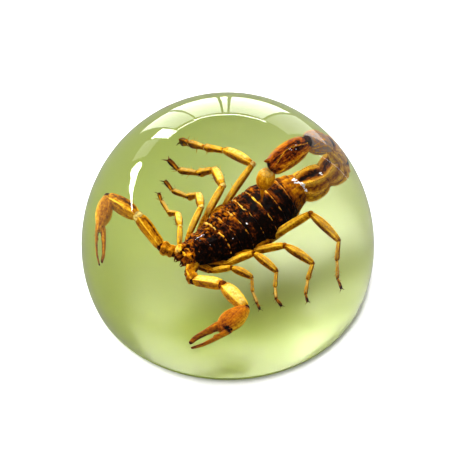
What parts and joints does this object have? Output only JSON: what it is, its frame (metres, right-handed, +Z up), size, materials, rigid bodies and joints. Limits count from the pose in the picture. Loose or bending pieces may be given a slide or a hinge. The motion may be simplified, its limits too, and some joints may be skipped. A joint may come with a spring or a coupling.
{
  "type": "scorpion in clear resin dome paperweight",
  "caption": "Clear cast resin dome with a whole golden scorpion sealed inside, tail raised over its back, on a thin pale green glow-pigment base layer with a flat underside.",
  "frame": {"origin": "middle of the flat underside", "axes": "+Z up out of the underside through the crown; the viewer who sees the scorpion's head at lower left stands towards -Y"},
  "size_m": [0.08, 0.08, 0.0535],
  "materials": {
    "clear_resin": "polished",
    "glow_resin": "satin",
    "cuticle": "satin"
  },
  "bodies": {
    "root": {"resin_dome_upper": "clear_resin", "resin_dome_lower": "clear_resin", "glow_base_layer": "glow_resin", "scorpion": "cuticle"}
  },
  "joints": []
}
